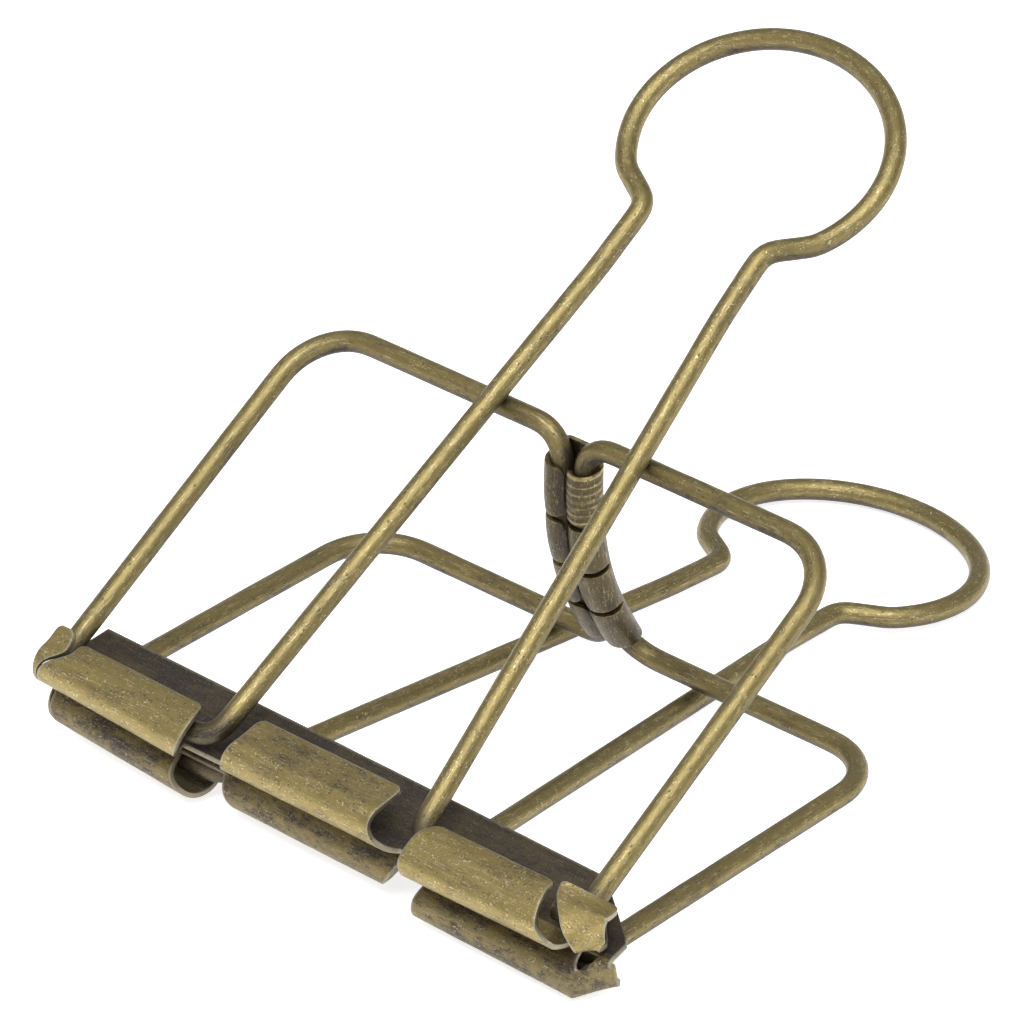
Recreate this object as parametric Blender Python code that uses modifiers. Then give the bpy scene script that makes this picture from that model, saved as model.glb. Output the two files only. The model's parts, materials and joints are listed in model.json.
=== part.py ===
"""Skeleton binder clip: two stamped jaws, two spring wires, a crimped spine clamp, two wire handles.

The clip has a frame of its own: X runs along the jaws, Y from the mouth back to the spine, and Z
from the lower jaw to the upper one, with z = 0 between the jaws. The lower half is the upper half
mirrored in z, except that its tabs are bent a little further out. The whole clip then tips forward
until it lies on its lower jaw and lower handle, which is how it stands here: jaws shut, both handles
folded back.
"""

import math

import bmesh
import bpy
from mathutils import Matrix, Vector

MM = 0.001

# Driving dimensions, in millimetres.
WIRE = 1.8  # diameter of the spring wires and of the handle wires
SHEET = 0.5  # thickness of the jaw's sheet
CLAMP_SHEET = 0.45
REST_GAP = 0.25  # room left between two pieces that touch on the real clip
SPLIT_GAP = 0.3  # room left where a spring wire is parted for its hinge

JAW_LEFT = -28.0  # the jaw's two ends
JAW_RIGHT = 30.0
JAW_DEPTH = 5.7  # from the curl's axis to the strip's back edge
FACE_HEIGHT = 0.15  # gripping face above the middle plane
CURL_AXIS = 1.93  # curl's axis above the middle plane
LEFT_CUT = (3.4, 0.6)  # the strip's left back corner: where its cut starts, and how much it takes off
UPPER_RIGHT_CUT = (0.1, 5.1)
LOWER_RIGHT_CUT = (1.4, 5.2)
STRIP_TAPER = 0.011  # how much shallower the strip gets, per millimetre of x
NOTCH_ANGLE = 25.0  # degrees round the nose at which the notches between tabs end

# Each tab: its left and right end edge, as x at the notch's root, at the nose's front, on its shoulder,
# on top and at the free edge. Then how far its top runs back, how tightly that top bends down, how far
# forward its left and right end are pushed, how far they bulge, and how far the right end is pinched
# shut. An edge of three numbers is a short slot's side: the slot's middle at the root, how far the side
# lies from there, and where the slot shuts.
UPPER_TABS = {
    "left_end": (
        (-28.0, -28.0, -28.0, -28.0, -28.0), (-27.85, -27.85, -27.4, -25.8, -26.2),
        2.1, -3.5, (0.0, 0.0), (0.0, 0.0), 0.0),
    "left_long": (
        (-27.65, -27.55, -26.9, -25.2, -25.4), (-13.3, -12.1, -11.75, -11.9, -12.4),
        1.7, 6.0, (0.0, 0.85), (0.0, 0.0), 0.0),
    "middle": (
        (-8.9, -8.1, -7.8, -7.35, -7.2), (9.2, 7.5, 7.1, 7.25, 7.5),
        2.6, 0.0, (0.0, 0.15), (0.0, 0.0), 0.0),
    "right_long": (
        (11.6, 11.45, 11.45, 11.5, 12.4), (27.6, 25.7, 24.8, 24.1, 24.0),
        1.35, 6.0, (1.4, 1.4), (0.0, 0.0), 0.0),
    "right_end": (
        (28.2, 28.2, 27.3, 26.0, 25.4), (30.0, 30.0, 30.0, 30.0, 29.6),
        1.6, -6.0, (0.9, 0.1), (0.0, 0.0), 0.0),
}
LOWER_TABS = {
    "left_end": (
        (-27.55, -27.4, -27.3, -27.2, -27.0), (-27.4, -27.2, -27.0, -26.5, -26.2),
        1.9, -6.0, (0.0, 0.0), (0.0, 0.0), 0.0),
    "left_long": (
        (-27.2, -27.05, -26.7, -25.8, -25.4), (-13.9, -13.2, -11.9, -11.75, -12.0),
        1.7, 6.0, (0.15, 0.85), (0.0, 0.25), 0.0),
    "middle": (
        (-9.2, -8.5, -7.8, -7.4, -7.3), (9.4, 8.3, 7.2, 7.0, 7.0),
        2.6, 0.0, (0.1, 0.35), (0.0, 0.0), 0.0),
    "right_long": (
        (12.3, 11.9, 11.8, 11.8, 12.2), (28.05, -1.0, 27.0),
        1.7, 6.0, (1.3, 1.4), (0.3, 0.75), 0.0),
    "right_end": (
        (28.05, 1.0, 27.0), (30.0, 30.0, 29.9, 29.6, 29.4),
        1.7, 6.0, (1.4, 0.0), (0.75, 0.0), 0.78),
}
EDGE_SHARES = (0.0, 0.3, 0.5, 0.7, 1.0)  # where along a tab its end edges are given
TOP_SHARE = EDGE_SHARES[3]
SLOT_SHARE = 0.2  # where a short slot ends
PUSH_FULL = 65.0  # a tab's push and pinch grow up to here, in degrees round the nose
PUSH_UNTIL = 115.0  # and the push fades from here on
PUSH_LOSS = 0.75
BULGE_RATE = 0.89  # the bulge is largest where the tab has turned by 90 / 0.89 degrees past the notch

ARM_X_JAW = 27.0  # spring arms, at the jaw and at the back corners
ARM_X_BACK = 26.7
FOOT_END = 24.6  # where the foot ends, inside the curl
BAR_Y = 33.74  # the back bars, which the jaws turn about
BAR_Z = 11.14
CORNER_RADIUS = 5.4
SPINE_X = 1.0  # the two wires side by side in the clamp
SPINE_RADIUS = 2.5
SPINE_BOW = 2.2  # how far the middle of the spine leans towards the mouth
SPLIT_X = 4.3
FOOT_RADIUS = 1.4

HANDLE_X = 10.44  # handle arms, at the hinge and at the neck
HANDLE_FOOT = 14.8
NECK_X = 6.0
NECK_START = 48.0
NECK_END = 54.2
NECK_RADIUS = 1.4
LOOP_CENTRE = 62.0
LOOP_WIDE = 11.8  # half-widths of the oval loop
LOOP_LONG = 9.8
LOOP_FROM = -36.0  # degrees

CLAMP_HALF = 9.0
CLAMP_ROOM = 0.12  # between the wires and the clamp
SEAM_X = 0.14
FINGERS = 4
SLOT = 0.55  # gap between two fingers

BRASS_WIRE = ((0.29, 0.235, 0.12), 0.38)
BRASS_SHEET = ((0.235, 0.195, 0.11), 0.42)
BRASS_DARK = ((0.19, 0.17, 0.125), 0.45)

BAR_ANGLE = math.atan2(BAR_Z - CURL_AXIS, BAR_Y)
BAR_REACH = math.hypot(BAR_Y, BAR_Z - CURL_AXIS)
HANDLE_ANGLE = BAR_ANGLE + math.asin((WIRE + REST_GAP) / BAR_REACH)
CURL_RADIUS = CURL_AXIS - FACE_HEIGHT - SHEET / 2


def clear_scene():
    for obj in list(bpy.data.objects):
        bpy.data.objects.remove(obj, do_unlink=True)


def make_material(name, look):
    colour, roughness = look
    material = bpy.data.materials.new(name)
    material.use_nodes = True
    shader = material.node_tree.nodes["Principled BSDF"]
    shader.inputs["Base Color"].default_value = (*colour, 1.0)
    shader.inputs["Roughness"].default_value = roughness
    shader.inputs["Metallic"].default_value = 1.0
    material.diffuse_color = (*colour, 1.0)
    return material


def place(obj, parent, at=(0.0, 0.0, 0.0)):
    """Links the object and hangs it on its parent, at a point of the parent's frame."""
    clip.objects.link(obj)
    obj.parent = parent
    obj.location = Vector(at) * MM
    return obj


def empty(name, parent=None, at=(0.0, 0.0, 0.0)):
    return place(bpy.data.objects.new(name, None), parent, at)


def rounded(corners):
    """Points along a path of straight runs. Each corner is (x, y, z, radius), and a radius rounds it."""
    points = []
    for index, (*corner, radius) in enumerate(corners):
        here = Vector(corner)
        if not radius:
            points.append(here)
            continue
        before = (Vector(corners[index - 1][:3]) - here).normalized()
        after = (Vector(corners[index + 1][:3]) - here).normalized()
        opening = before.angle(after)
        middle = (before + after).normalized()
        centre = here + middle * (radius / math.sin(opening / 2))
        start = here + before * (radius / math.tan(opening / 2)) - centre
        axis = before.cross(after)
        turn = math.pi - opening
        steps = max(2, round(turn * math.sqrt(radius) * 2.2))
        for step in range(steps + 1):
            points.append(centre + Matrix.Rotation(-turn * step / steps, 3, axis) @ start)
    return points


def wire(name, points, parent, origin):
    """A round wire through the points, given in the clip's frame, with its origin on the parent."""
    curve = bpy.data.curves.new(name, "CURVE")
    curve.dimensions = "3D"
    curve.bevel_depth = WIRE / 2 * MM
    curve.bevel_resolution = 2
    curve.use_fill_caps = True
    spline = curve.splines.new("POLY")
    spline.points.add(len(points) - 1)
    for point, place_at in zip(spline.points, points):
        point.co = (*((place_at - Vector(origin)) * MM), 1.0)
    curve.materials.append(wire_brass)
    return place(bpy.data.objects.new(name, curve), parent)


def bowed(point):
    """Leans a point of the spine towards the mouth, most at mid-height and not at all at the bars."""
    lean = SPINE_BOW * math.cos(math.pi / 2 * min(1.0, abs(point.z) / BAR_Z))
    return Vector((point.x, point.y - lean, point.z))


def smooth_between(value, low, high):
    share = min(1.0, max(0.0, (value - low) / (high - low)))
    return share * share * (3 - 2 * share)


def tab_profile(angle, back=0.0, sag=0.0, push=0.0, bulge=0.0, pinch=0.0):
    """The (y, z) of the sheet's middle: round the nose by the angle in degrees, then back by a run.

    A pushed tab is curled loosely, with its nose further forward. A pinched one closes on its axis.
    """
    turn = math.radians(angle)
    grown = smooth_between(angle, NOTCH_ANGLE, PUSH_FULL)
    radius = CURL_RADIUS + bulge * math.sin(math.radians(angle - NOTCH_ANGLE) * BULGE_RATE)
    radius *= 1 - pinch * grown
    forward = push * grown * (1 - PUSH_LOSS * smooth_between(angle, PUSH_UNTIL, 180))
    drop = back * back / (2 * sag) if sag else 0.0
    return (-radius * math.sin(turn) - forward + back, CURL_AXIS - radius * math.cos(turn) - drop)


def edge_at(edge, share):
    """An end edge's x, as the share goes from 0 at the notch's root to 1 at the free edge."""
    if len(edge) == 3:
        middle, side, shut = edge
        middle += (shut - middle) * smooth_between(share, 0.0, SLOT_SHARE)
        return middle + side * math.sqrt(max(0.0, 1 - (share / SLOT_SHARE) ** 2))
    knots = list(zip(EDGE_SHARES, edge))
    for (low, x_low), (high, x_high) in zip(knots, knots[1:]):
        if share <= high:
            return x_low + (x_high - x_low) * (share - low) / (high - low)
    return edge[-1]


def add_grid(mesh, columns, rows, where):
    """Adds a grid of quads whose vertex in column i and row j lies at where(i / columns, j / rows)."""
    made = bmesh.ops.create_grid(mesh, x_segments=columns, y_segments=rows, size=0.5)
    for vertex in made["verts"]:
        vertex.co = Vector(where(vertex.co.x + 0.5, vertex.co.y + 0.5)) * MM
    return made["verts"]


def strip_point(left, right, right_cut, across, back):
    """The flat strip behind the nose, its back corners cut off, and the nose up to the notches."""
    x = left + (right - left) * across
    if back < 0:
        return (x, *tab_profile(NOTCH_ANGLE * -back))
    depth = JAW_DEPTH - STRIP_TAPER * x
    y = depth * back
    start, width = right_cut if x > 0 else LEFT_CUT
    cut = max(0.0, y - start) * width / (depth - start)
    end = JAW_RIGHT if x > 0 else -JAW_LEFT
    return (x * (1 - cut / end), y, FACE_HEIGHT + SHEET / 2)


def tab_point(left, right, run, sag, pushes, bulges, pinch, across, share):
    """A tab: round the nose for its first part, then back over the curl to its free edge."""
    angle = NOTCH_ANGLE + (180 - NOTCH_ANGLE) * min(1.0, share / TOP_SHARE)
    back = run * max(0.0, share - TOP_SHARE) / (1 - TOP_SHARE)
    push = pushes[0] + (pushes[1] - pushes[0]) * across
    bulge = bulges[0] + (bulges[1] - bulges[0]) * across
    y, z = tab_profile(angle, back * (1 - pinch * across), sag, push, bulge, pinch * across)
    x_left = edge_at(left, share)
    x_right = edge_at(right, share)
    if share > 0.99:
        trim = min(0.35, (x_right - x_left) / 4)
        x_left += trim
        x_right -= trim
    return (x_left + (x_right - x_left) * across, y, z)


def make_jaw(name, tabs, right_cut, parent, origin):
    """A stamped jaw: a flat strip, with tabs cut in its front edge and curled up over the wires."""
    sheet = bmesh.new()
    stops = [edge_at(edge, 0.0) for tab in tabs.values() for edge in tab[:2]]
    columns = [max(1, round((b - a) / 4.2)) for a, b in zip(stops, stops[1:])]
    for left, right, count in zip(stops, stops[1:], columns):
        run = (left, right, right_cut)
        add_grid(sheet, count, 3, lambda i, j, run=run: strip_point(*run, i, j))
        add_grid(sheet, count, 2, lambda i, j, run=run: strip_point(*run, i, j - 1))
    for tab, count in zip(tabs.values(), columns[::2]):
        add_grid(sheet, count, 10, lambda i, j, tab=tab: tab_point(*tab, i, j))
    bmesh.ops.remove_doubles(sheet, verts=sheet.verts, dist=0.001 * MM)
    bmesh.ops.recalc_face_normals(sheet, faces=sheet.faces)
    bmesh.ops.translate(sheet, verts=sheet.verts, vec=-Vector(origin) * MM)
    mesh = bpy.data.meshes.new(name)
    sheet.to_mesh(mesh)
    sheet.free()
    mesh.materials.append(sheet_brass)
    jaw = place(bpy.data.objects.new(name, mesh), parent)
    thick = jaw.modifiers.new("sheet", "SOLIDIFY")
    thick.thickness = SHEET * MM
    thick.offset = 0.0
    thick.use_even_offset = True
    return jaw


def clamp_outline():
    """The clamp's section as (x, y) points on its sheet's middle, from one flap's lip to the other's."""
    radius = WIRE / 2 + CLAMP_ROOM + CLAMP_SHEET / 2
    lip = math.acos((SPINE_X - SEAM_X - CLAMP_SHEET / 2) / radius) + math.pi
    steps = 10
    right = []
    for step in range(steps + 1):
        turn = lip + (2.5 * math.pi - lip) * step / steps
        right.append((SPINE_X + radius * math.cos(turn), radius * math.sin(turn)))
    left = [(-x, y) for x, y in reversed(right)]
    return right + [(0.0, radius)] + left


def make_clamp(name, parent):
    """The spine clamp: a flat back, and fingers crimped round both wires to a seam at the front."""
    outline = clamp_outline()
    rows = [CLAMP_HALF * (2 * row / FINGERS - 1) for row in range(FINGERS + 1)]
    heights = []
    for low, high in zip(rows, rows[1:]):
        low += SLOT / 2 if heights else 0.0
        high -= SLOT / 2 if high < CLAMP_HALF else 0.0
        heights += [low + (high - low) * part / 3 for part in range(4)]

    def where(i, j):
        x, y = outline[round(i * (len(outline) - 1))]
        return bowed(Vector((x, BAR_Y + y, heights[round(j * (len(heights) - 1))])))

    sheet = bmesh.new()
    add_grid(sheet, len(outline) - 1, len(heights) - 1, where)
    slots = []
    for face in sheet.faces:
        middle = face.calc_center_median() / MM
        in_slot = any(abs(middle.z - row) < SLOT / 2 for row in rows[1:-1])
        if in_slot and middle.y < bowed(Vector((0.0, BAR_Y + 0.3, middle.z))).y:
            slots.append(face)
    bmesh.ops.delete(sheet, geom=slots, context="FACES")
    bmesh.ops.recalc_face_normals(sheet, faces=sheet.faces)
    mesh = bpy.data.meshes.new(name)
    sheet.to_mesh(mesh)
    sheet.free()
    mesh.materials.append(dark_brass)
    clamp = place(bpy.data.objects.new(name, mesh), parent)
    thick = clamp.modifiers.new("sheet", "SOLIDIFY")
    thick.thickness = CLAMP_SHEET * MM
    thick.offset = 0.0
    thick.use_even_offset = True
    return clamp


def spring_arm():
    """One arm of a spring wire, on the right: foot in the curl, arm, back corner, and the back bar."""
    return rounded([
        (FOOT_END, 0.0, CURL_AXIS, 0.0),
        (ARM_X_JAW, 0.0, CURL_AXIS, FOOT_RADIUS),
        (ARM_X_BACK, BAR_Y, BAR_Z, CORNER_RADIUS),
        (SPLIT_X + SPLIT_GAP, BAR_Y, BAR_Z, 0.0),
    ])


def spine_wire():
    """The middle of the right spring wire: off the upper bar, down through the clamp, to the lower bar."""
    half = rounded([(SPLIT_X, BAR_Y, BAR_Z, 0.0), (SPINE_X, BAR_Y, BAR_Z, SPINE_RADIUS), (SPINE_X, BAR_Y, 0.0, 0.0)])
    upper = half[:-1]
    straight = upper[-1].z
    run = [Vector((SPINE_X, BAR_Y, straight * share / 4)) for share in range(3, -4, -1)]
    lower = [Vector((point.x, point.y, -point.z)) for point in reversed(upper)]
    return [bowed(point) for point in upper + run + lower]


def handle_path():
    """A handle, flat in x and distance from its hinge: foot, arm, neck, oval loop and back again."""
    start = math.radians(LOOP_FROM)
    side = rounded([
        (HANDLE_FOOT, 0.0, 0.0, 0.0),
        (HANDLE_X, 0.0, 0.0, FOOT_RADIUS),
        (NECK_X + 0.2, NECK_START, 0.0, 30.0),
        (NECK_X, NECK_END, 0.0, NECK_RADIUS),
        (LOOP_WIDE * math.cos(start), LOOP_CENTRE + LOOP_LONG * math.sin(start), 0.0, 0.0),
    ])
    steps = 15
    for step in range(1, steps + 1):
        turn = start + (math.pi / 2 - start) * step / steps
        side.append(Vector((LOOP_WIDE * math.cos(turn), LOOP_CENTRE + LOOP_LONG * math.sin(turn), 0.0)))
    return side + [Vector((-point.x, point.y, point.z)) for point in reversed(side[:-1])]


def mirrored_in_x(points):
    return [Vector((-point.x, point.y, point.z)) for point in points]


def make_half(side, tabs, right_cut, half):
    """One jaw with its two spring arms on the back bar's axis, and its handle on the curl's axis."""
    bar = (0.0, BAR_Y, BAR_Z)
    curl = (0.0, 0.0, CURL_AXIS)
    jaw_hinge = empty(side + "_jaw_hinge", half, bar)
    make_jaw(side + "_jaw", tabs, right_cut, jaw_hinge, bar)
    wire(f"right_{side}_spring_arm", spring_arm(), jaw_hinge, bar)
    wire(f"left_{side}_spring_arm", mirrored_in_x(spring_arm()), jaw_hinge, bar)
    handle_hinge = empty(side + "_handle_hinge", jaw_hinge, Vector(curl) - Vector(bar))
    handle_hinge.rotation_euler = (HANDLE_ANGLE, 0.0, 0.0)
    wire(side + "_handle", handle_path(), handle_hinge, (0.0, 0.0, 0.0))


def corners_of(names):
    """The corners of these objects' meshes in the world, with their modifiers applied."""
    graph = bpy.context.evaluated_depsgraph_get()
    corners = []
    for name in names:
        solid = bpy.data.objects[name].evaluated_get(graph)
        corners += [solid.matrix_world @ vertex.co for vertex in solid.to_mesh().vertices]
        solid.to_mesh_clear()
    return corners


def height_over(corners, angle):
    """How low the corners reach, with the clip tipped by the angle."""
    return min(corner.y * math.sin(angle) + corner.z * math.cos(angle) for corner in corners)


def lay_on_table(rest):
    """Tips the clip until its lower jaw and lower handle lie level, and sets it over the origin."""
    bpy.context.view_layer.update()
    jaw = corners_of(["lower_jaw"])
    handle = corners_of(["lower_handle"])
    least, most = 0.0, HANDLE_ANGLE
    for _ in range(30):
        angle = (least + most) / 2
        if height_over(handle, angle) < height_over(jaw, angle):
            least = angle
        else:
            most = angle
    rest.rotation_euler = (angle, 0.0, 0.0)
    bpy.context.view_layer.update()
    corners = corners_of([obj.name for obj in clip.objects if obj.type != "EMPTY"])
    low = [min(corner[axis] for corner in corners) for axis in range(3)]
    high = [max(corner[axis] for corner in corners) for axis in range(3)]
    rest.location = (-(low[0] + high[0]) / 2, -(low[1] + high[1]) / 2, -low[2])


clear_scene()
clip = bpy.data.collections.new("binder_clip")
bpy.context.scene.collection.children.link(clip)
wire_brass = make_material("brass_wire", BRASS_WIRE)
sheet_brass = make_material("brass_sheet", BRASS_SHEET)
dark_brass = make_material("brass_clamp", BRASS_DARK)

clip_rest = empty("clip_rest")
upper_half = empty("upper_half", clip_rest)
lower_half = empty("lower_half", clip_rest)
lower_half.scale = (1.0, 1.0, -1.0)
make_half("upper", UPPER_TABS, UPPER_RIGHT_CUT, upper_half)
make_half("lower", LOWER_TABS, LOWER_RIGHT_CUT, lower_half)
wire("right_spring_spine", spine_wire(), clip_rest, (0.0, 0.0, 0.0))
wire("left_spring_spine", mirrored_in_x(spine_wire()), clip_rest, (0.0, 0.0, 0.0))
make_clamp("spine_clamp", clip_rest)
lay_on_table(clip_rest)
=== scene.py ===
"""Looks of the skeleton binder clip: smooth wires, stamped jaws, crimped clamp, antique brass.

Shapes are made in the clip's own frame, in millimetres: X runs along the jaws, Y from the mouth back
to the spine, Z from the lower jaw to the upper one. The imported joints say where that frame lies.
"""

import json
import math

import bmesh
import bpy
from mathutils import Matrix, Vector, noise


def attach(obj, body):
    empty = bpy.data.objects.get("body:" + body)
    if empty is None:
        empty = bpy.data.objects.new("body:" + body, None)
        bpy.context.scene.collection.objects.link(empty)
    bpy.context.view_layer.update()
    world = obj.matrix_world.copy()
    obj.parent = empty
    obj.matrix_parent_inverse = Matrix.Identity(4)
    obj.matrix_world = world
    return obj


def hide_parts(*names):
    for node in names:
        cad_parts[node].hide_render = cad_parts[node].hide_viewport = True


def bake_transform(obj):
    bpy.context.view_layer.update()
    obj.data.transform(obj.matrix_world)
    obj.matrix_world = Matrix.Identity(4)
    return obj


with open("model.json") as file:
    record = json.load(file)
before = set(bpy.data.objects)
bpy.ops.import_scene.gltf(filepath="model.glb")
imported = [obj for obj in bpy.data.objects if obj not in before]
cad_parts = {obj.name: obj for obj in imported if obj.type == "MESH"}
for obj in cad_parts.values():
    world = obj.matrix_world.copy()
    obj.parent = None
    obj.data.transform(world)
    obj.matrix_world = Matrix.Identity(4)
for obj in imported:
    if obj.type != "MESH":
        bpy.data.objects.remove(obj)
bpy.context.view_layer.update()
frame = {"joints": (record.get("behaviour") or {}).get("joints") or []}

MM = 0.001

# Driving dimensions, in millimetres. They are the CAD model's, apart from some of the tabs' end edges
# and pinches, the length of the jaws' short slot, the width of the clamp's slots, the upper handle's
# rest gap, and the shift of the left wire's spine.
WIRE = 1.8
SHEET = 0.5
CLAMP_SHEET = 0.45
JAW_LEFT = -28.0
JAW_RIGHT = 30.0
JAW_DEPTH = 5.7
FACE_HEIGHT = 0.15
LEFT_CUT = (3.4, 0.6)
UPPER_RIGHT_CUT = (0.1, 5.1)
LOWER_RIGHT_CUT = (1.4, 5.2)
STRIP_TAPER = 0.011
NOTCH_ANGLE = 25.0

# Each tab: its left and right end edge, as x at the notch's root, at the nose's front, on its shoulder,
# on top and at the free edge. Then how far its top runs back, how tightly that top bends down, how far
# forward its left and right end are pushed, how far they bulge, and how far the right end is pinched
# shut. An edge of three numbers is a short slot's side: the slot's middle at the root, how far the side
# lies from there, and where the slot shuts.
UPPER_TABS = {
    "left_end": (
        (-28.0, -28.0, -28.0, -28.0, -28.0), (-27.72, -27.74, -27.35, -25.8, -26.2),
        2.1, -3.5, (0.0, 0.0), (0.0, 0.0), 0.0),
    "left_long": (
        (-27.66, -27.64, -27.08, -25.25, -25.4), (-13.3, -12.1, -11.75, -11.9, -12.4),
        1.7, 6.0, (0.0, 0.85), (0.0, 0.0), 0.0),
    "middle": (
        (-8.9, -8.1, -7.8, -7.35, -7.2), (9.2, 7.5, 7.1, 7.25, 7.5),
        2.6, 0.0, (0.0, 0.15), (0.0, 0.0), 0.0),
    "right_long": (
        (11.6, 11.45, 11.45, 11.5, 12.4), (27.6, 25.7, 24.8, 24.1, 24.0),
        1.35, 6.0, (1.4, 1.4), (0.0, 0.0), 0.0),
    "right_end": (
        (28.2, 28.1, 26.9, 25.1, 24.5), (29.3, 29.6, 30.0, 30.0, 29.8),
        1.6, -6.0, (0.9, 0.0), (0.0, 0.0), 0.8),
}
LOWER_TABS = {
    "left_end": (
        (-27.55, -27.4, -27.3, -27.2, -27.0), (-27.4, -27.2, -27.0, -26.5, -26.2),
        1.9, -6.0, (0.0, 0.0), (0.0, 0.0), 0.0),
    "left_long": (
        (-27.2, -27.05, -26.7, -25.8, -25.4), (-13.9, -13.2, -11.9, -11.75, -12.0),
        1.7, 6.0, (0.15, 0.85), (0.0, 0.25), 0.0),
    "middle": (
        (-9.2, -8.5, -7.8, -7.4, -7.3), (9.4, 8.3, 7.2, 7.0, 7.0),
        2.6, 0.0, (0.1, 0.35), (0.0, 0.0), 0.0),
    "right_long": (
        (12.3, 11.9, 11.8, 11.8, 12.2), (28.05, -1.0, 27.7),
        1.7, 6.0, (1.3, 1.4), (0.3, 0.5), 0.0),
    "right_end": (
        (28.05, 1.0, 27.7), (30.0, 30.0, 29.9, 29.6, 29.4),
        0.3, 6.0, (1.4, 0.0), (0.5, 0.0), 0.8),
}
EDGE_SHARES = (0.0, 0.3, 0.5, 0.7, 1.0)  # where along a tab its end edges are given
TOP_SHARE = EDGE_SHARES[3]
SLOT_SHARE = 0.11  # where a jaw's short slot ends
SLOT_TIGHT = 0.85  # how much of its width is left
PUSH_FULL = 65.0  # a tab's push and pinch grow up to here, in degrees round the nose
PUSH_UNTIL = 115.0  # and the push fades from here on
PUSH_LOSS = 0.75
BULGE_RATE = 0.89  # the bulge is largest where the tab has turned by 90 / 0.89 degrees past the notch

ARM_X_JAW = 27.0
ARM_X_BACK = 26.7
FOOT_END = 24.6
FOOT_RADIUS = 1.4
CORNER_RADIUS = 5.4
SPINE_X = 1.0
SPINE_RADIUS = 2.5
SPINE_BOW = 2.2
LEFT_SHIFT = 0.3  # the left wire's spine and the clamp's seam lie this much further left
SPINE_STEPS = 12  # straight pieces in half a spine
TWIST_TO = 4.5

HANDLE_X = 10.44
HANDLE_FOOT = 14.8
HANDLE_FOOT_RADIUS = 1.8
NECK_X = 6.0
NECK_START = 48.0
NECK_END = 54.2
NECK_RADIUS = 1.4
NECK_FLARE = 0.2  # how much wider the neck's start is than its end, on each side
NECK_BEND = 30.0  # the radius of the bend where the neck starts
LOOP_CENTRE = 62.0
LOOP_WIDE = 11.8
LOOP_LONG = 9.8
LOOP_FROM = -36.0
LOOP_STEPS = 90  # straight pieces in half a loop
REST_GAP = {"upper": 0.08, "lower": 0.25}  # between a handle and its bar

CLAMP_HALF = 9.0
CLAMP_ROOM = 0.12
SEAM_HALF = 0.14  # half the gap between the flaps' lips
FINGERS = 4
FINGER_ROWS = 26
SIDE_STEPS = 30  # straight pieces in the clamp's outline round one wire
FINGER_GAP = 0.6  # the width of the slots between the fingers
GAP_ROOT = 0.25  # where such a slot's rounded end is, behind the wires' middle
RIB_PITCH = 0.62
RIB_HEIGHT = 0.05
LINE_PITCH = 0.33
LINE_HEIGHT = 0.012
FINGER_CORNER = 0.75  # the rounding of a finger's corners at the seam
LIP_STEP = 0.16  # the length of one step of the clamp's outline
BACK_RISE = 0.85  # how far the back plate stands above the top fingers
BACK_FROM = 0.9  # and how far behind the wires' middle it starts

# How fine the visible meshes are: steps in millimetres, and rows of faces.
RING_STEP = 0.5
RING_SIDES = 28
SHEET_STEP = 0.45
STRIP_ROWS = 13
NOTCH_ROWS = 4
TAB_ROWS = 34
MERGE = 0.002

# How the visible surfaces depart from the ideal ones.
SHEARED_EDGE = 0.2  # the rounding of a wire's cut ends
WIRE_LESS = 0.02  # how much thinner a wire's radius is, so that its dents stay inside the CAD's wire
JAW_LESS = 0.1  # how much thinner the jaws' sheet is, for the same reason
JAW_SQUEEZE = 0.9996  # and how much shorter the jaws are
BROKEN_EDGE = 0.07  # the rounding of the sheets' edges
EDGE_SOFT = 0.08  # how far the corners of a tab's end edge are rounded, as a share of the tab

# Finishes.
GOLD = (0.52, 0.42, 0.19)  # worn plating on the wires and the clamp, and painted highlight on the wires' tops
PALE = (0.3, 0.27, 0.2)  # rubbed rims of the jaws
FLECK = (0.78, 0.66, 0.38)  # bright scratches and glints
OLIVE = (0.215, 0.172, 0.072)  # plating of the wires
TAB_OLIVE = (0.275, 0.215, 0.085)  # of the jaws
GREY = (0.1, 0.08, 0.043)  # and of the clamp
# The dark colour of patina, which also paints the shade under the wires and inside the curls.
PATINA_AND_SHADE = (0.042, 0.034, 0.03)

# Studio. The camera's places are in millimetres in the clip's frame, and the light's are in metres.
FLOOR_SIZE = 3.0
FLOOR_DROP = 0.0002
BRIGHT_SIDE = (0.36, -0.42, 0.833)  # the direction that the room is brightest in
ROOM_DIM = 0.62
KEY_PLACE = (0.2, -0.3, 0.72)
KEY_TARGET = (0.0, 0.0, 0.01)
KEY_SIZE = 0.5
KEY_POWER = 5.0
CAMERA_AT = (395.07, -309.27, 468.92)
CAMERA_AIM = (-8.37, 32.83, 0.0)
CAMERA_ROLL = 1.532
CAMERA_LENS = 317.22

joint_at = {joint["name"]: Vector(joint["pos_m"]) for joint in frame["joints"]}
upper_bar = joint_at["upper_jaw_open"]
lower_bar = joint_at["lower_jaw_open"]
upper_curl = joint_at["upper_handle_fold"]
lower_curl = joint_at["lower_handle_fold"]
mouth = (upper_curl + lower_curl) / 2
to_spine = (upper_bar + lower_bar) / 2 - mouth
to_upper = upper_bar - lower_bar
BAR_Y = to_spine.length / MM
BAR_Z = to_upper.length / MM / 2
CURL_AXIS = (upper_curl - lower_curl).length / MM / 2
CURL_RADIUS = CURL_AXIS - FACE_HEIGHT - SHEET / 2

clip_axes = Matrix((Vector((1.0, 0.0, 0.0)), to_spine.normalized(), to_upper.normalized())).transposed()
CLIP = Matrix.Translation(mouth) @ clip_axes.to_4x4() @ Matrix.Scale(MM, 4)
MIRROR_X = Matrix.Diagonal((-1.0, 1.0, 1.0, 1.0))
MIRROR_Z = Matrix.Diagonal((1.0, 1.0, -1.0, 1.0))


# ---------------------------------------------------------------- materials


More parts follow.
